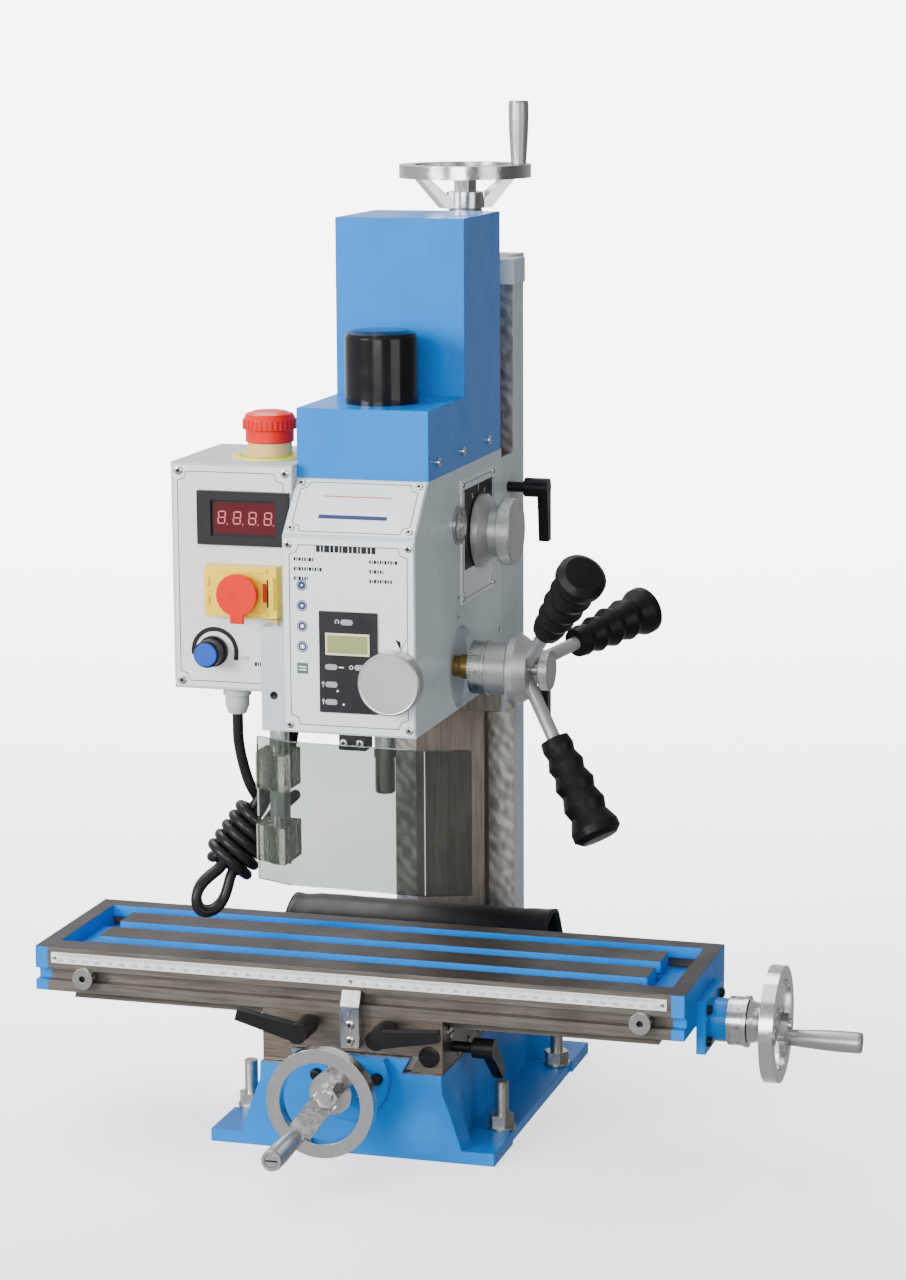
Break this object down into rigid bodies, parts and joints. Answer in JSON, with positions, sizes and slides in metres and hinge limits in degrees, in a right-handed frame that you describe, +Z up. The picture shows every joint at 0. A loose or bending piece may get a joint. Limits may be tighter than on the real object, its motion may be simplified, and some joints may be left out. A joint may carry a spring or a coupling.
{
  "type": "benchtop milling machine",
  "caption": "Benchtop vertical milling machine: column, sliding head with quill and clear guard, slotted cross table and handwheels.",
  "frame": {"origin": "centre of the bench stud pattern, on the underside of the base", "axes": "+X to the right along the table as the operator sees it, +Y from the operator to the column, +Z up"},
  "size_m": [0.6113, 0.4905, 0.7611],
  "materials": {
    "blue_paint": "gloss sky-blue machine enamel",
    "grey_paint": "light grey-blue machine enamel",
    "ground_iron": "ground and oiled cast iron",
    "bronze": "machined bronze",
    "steel": "turned bright steel",
    "zinc_steel": "zinc-plated steel",
    "aluminium": "polished aluminium",
    "black_plastic": "black moulded plastic",
    "black_rubber": "black rubber",
    "printed_plate": "silver printed plate",
    "display_black": "black plastic with clear window",
    "switch_yellow": "yellow moulded plastic",
    "stop_red": "red moulded plastic",
    "grey_gland": "pale grey nylon",
    "clear_guard": "smoke-tinted clear polycarbonate",
    "motor_iron": "dark grey motor enamel"
  },
  "bodies": {
    "frame": {"base": "blue_paint", "column": "grey_paint", "column_cap": "grey_paint", "mounting_studs": "zinc_steel", "y_bearing_flange": "blue_paint", "way_cover": "black_rubber"},
    "saddle": {"saddle": "ground_iron", "gibs_and_nuts": "bronze", "pointer_block": "steel"},
    "table_lock_left": {"table_lock_left": "black_plastic"},
    "table_lock_right": {"table_lock_right": "black_plastic"},
    "saddle_lock": {"saddle_lock": "black_plastic"},
    "table": {"table": "ground_iron", "travel_stops": "steel", "x_bearing_bracket": "blue_paint"},
    "x_wheel": {"x_screw": "steel", "x_dial": "steel", "x_handwheel": "aluminium"},
    "x_grip": {"x_grip": "black_plastic"},
    "y_wheel": {"y_screw": "steel", "y_dial": "steel", "y_handwheel": "aluminium"},
    "y_grip": {"y_grip": "black_plastic"},
    "z_wheel": {"z_screw": "steel", "z_handwheel": "aluminium"},
    "z_grip": {"z_grip": "black_plastic"},
    "head": {"head_casting": "grey_paint", "head_slide": "grey_paint", "z_nut": "bronze", "belt_cover": "blue_paint", "label_plates": "printed_plate", "display_units": "display_black", "control_box": "grey_paint", "switch_body": "switch_yellow", "estop_base": "switch_yellow", "cord_gland": "grey_gland", "guard_housing": "grey_paint", "drive_motor": "motor_iron", "mains_cord": "black_rubber", "cord_hank": "black_rubber", "mains_plug": "black_rubber"},
    "head_lock_upper": {"head_lock_upper": "black_plastic"},
    "head_lock_lower": {"head_lock_lower": "black_plastic"},
    "drawbar_cap": {"drawbar_cap": "black_plastic"},
    "estop_button": {"estop_button": "stop_red"},
    "stop_paddle": {"stop_paddle": "stop_red"},
    "speed_knob": {"speed_knob": "black_plastic"},
    "selector_knob": {"selector_knob": "steel"},
    "fine_feed_knob": {"fine_feed_knob": "steel"},
    "guard": {"guard_rod": "aluminium", "guard_sheet": "clear_guard"},
    "feed": {"feed_hub": "steel", "feed_grips": "black_rubber"},
    "feed_lock_knob": {"feed_lock_knob": "black_plastic"},
    "quill": {"quill": "steel"},
    "spindle": {"spindle": "steel", "arbor_and_drawbar": "steel"},
    "sleeve_gear": {"sleeve_gear": "steel"},
    "idler_gear": {"idler_gear": "steel"},
    "motor_gear": {"motor_gear": "steel"}
  },
  "joints": [
    {"name": "saddle_slide", "type": "slide", "parent": "frame", "child": "saddle", "axis": [0, 1, 0], "range_m": [-0.02, 0.085], "deforming": ["way_cover"]},
    {"name": "table_slide", "type": "slide", "parent": "saddle", "child": "table", "axis": [1, 0, 0], "range_m": [-0.14, 0.14]},
    {"name": "head_slide", "type": "slide", "parent": "frame", "child": "head", "axis": [0, 0, 1], "range_m": [-0.03, 0.13]},
    {"name": "x_wheel_turn", "type": "hinge", "parent": "table", "child": "x_wheel", "pos_m": [0.298, -0.0675, 0.1025], "axis": [1, 0, 0], "range_deg": [-12618, 12618]},
    {"name": "x_grip_turn", "type": "hinge", "parent": "x_wheel", "child": "x_grip", "pos_m": [0.33, -0.0367, 0.0832], "axis": [1, 0, 0], "continuous": true},
    {"name": "y_wheel_turn", "type": "hinge", "parent": "frame", "child": "y_wheel", "pos_m": [0, -0.202, 0.061], "axis": [0, -1, 0], "range_deg": [-1809, 7659]},
    {"name": "y_grip_turn", "type": "hinge", "parent": "y_wheel", "child": "y_grip", "pos_m": [-0.019, -0.235, 0.034], "axis": [0, -1, 0], "continuous": true},
    {"name": "z_wheel_turn", "type": "hinge", "parent": "frame", "child": "z_wheel", "pos_m": [0, 0.174, 0.701], "axis": [0, 0, 1], "range_deg": [-2709, 11709]},
    {"name": "z_grip_turn", "type": "hinge", "parent": "z_wheel", "child": "z_grip", "pos_m": [0.0438, 0.174, 0.735], "axis": [0, 0, 1], "continuous": true},
    {"name": "table_lock_left_turn", "type": "hinge", "parent": "saddle", "child": "table_lock_left", "pos_m": [-0.03, -0.15, 0.099], "axis": [0, -1, 0], "range_deg": [-40, 40]},
    {"name": "table_lock_right_turn", "type": "hinge", "parent": "saddle", "child": "table_lock_right", "pos_m": [0.03, -0.15, 0.099], "axis": [0, -1, 0], "range_deg": [-40, 40]},
    {"name": "saddle_lock_turn", "type": "hinge", "parent": "saddle", "child": "saddle_lock", "pos_m": [0.08, -0.1055, 0.0775], "axis": [1, 0, 0], "range_deg": [0, 60]},
    {"name": "head_lock_upper_turn", "type": "hinge", "parent": "head", "child": "head_lock_upper", "pos_m": [0.065, 0.1185, 0.464], "axis": [1, 0, 0], "range_deg": [-60, 60]},
    {"name": "head_lock_lower_turn", "type": "hinge", "parent": "head", "child": "head_lock_lower", "pos_m": [0.065, 0.1185, 0.322], "axis": [1, 0, 0], "range_deg": [-60, 60]},
    {"name": "guard_swing", "type": "hinge", "parent": "head", "child": "guard", "pos_m": [-0.0575, -0.1235, 0.3], "axis": [0, 0, 1], "range_deg": [-90, 0]},
    {"name": "drawbar_cap_lift", "type": "slide", "parent": "head", "child": "drawbar_cap", "axis": [0, 0, 1], "range_m": [0, 0.08]},
    {"name": "estop_press", "type": "slide", "parent": "head", "child": "estop_button", "axis": [0, 0, -1], "range_m": [0, 0.006], "stiffness_N_per_m": 1200, "springref_m": -0.002},
    {"name": "stop_press", "type": "slide", "parent": "head", "child": "stop_paddle", "axis": [0, 1, 0], "range_m": [0, 0.004], "stiffness_N_per_m": 600, "springref_m": -0.001},
    {"name": "speed_knob_turn", "type": "hinge", "parent": "head", "child": "speed_knob", "pos_m": [-0.113, -0.115, 0.367], "axis": [0, -1, 0], "range_deg": [0, 270]},
    {"name": "selector_turn", "type": "hinge", "parent": "head", "child": "selector_knob", "pos_m": [0.07, 0.0305, 0.4425], "axis": [1, 0, 0], "range_deg": [0, 90]},
    {"name": "fine_feed_turn", "type": "hinge", "parent": "head", "child": "fine_feed_knob", "pos_m": [0.0342, -0.14, 0.3565], "axis": [0, -1, 0], "continuous": true},
    {"name": "feed_turn", "type": "hinge", "parent": "head", "child": "feed", "pos_m": [0.0975, -0.0155, 0.346], "axis": [1, 0, 0], "range_deg": [0, 286.4]},
    {"name": "feed_lock_turn", "type": "hinge", "parent": "feed", "child": "feed_lock_knob", "pos_m": [0.11, -0.0155, 0.346], "axis": [1, 0, 0], "range_deg": [0, 360]},
    {"name": "quill_slide", "type": "slide", "parent": "head", "child": "quill", "axis": [0, 0, -1], "range_m": [0, 0.05]},
    {"name": "spindle_turn", "type": "hinge", "parent": "quill", "child": "spindle", "pos_m": [0, -0.049, 0.3], "axis": [0, 0, 1], "continuous": true},
    {"name": "sleeve_turn", "type": "hinge", "parent": "head", "child": "sleeve_gear", "pos_m": [0, -0.049, 0.47], "axis": [0, 0, 1], "continuous": true},
    {"name": "idler_turn", "type": "hinge", "parent": "head", "child": "idler_gear", "pos_m": [0, 0.006, 0.47], "axis": [0, 0, 1], "continuous": true},
    {"name": "motor_turn", "type": "hinge", "parent": "head", "child": "motor_gear", "pos_m": [0, 0.046, 0.47], "axis": [0, 0, 1], "continuous": true}
  ],
  "couplings": [
    {"joint": "x_wheel_turn", "follows": "table_slide", "rad_per_m": 1570.8},
    {"joint": "y_wheel_turn", "follows": "saddle_slide", "rad_per_m": 1570.8},
    {"joint": "z_wheel_turn", "follows": "head_slide", "rad_per_m": 1570.8},
    {"joint": "quill_slide", "follows": "feed_turn", "m_per_rad": 0.01},
    {"joint": "sleeve_turn", "follows": "spindle_turn", "ratio": 1},
    {"joint": "idler_turn", "follows": "spindle_turn", "ratio": -1.2},
    {"joint": "motor_turn", "follows": "spindle_turn", "ratio": 2}
  ]
}
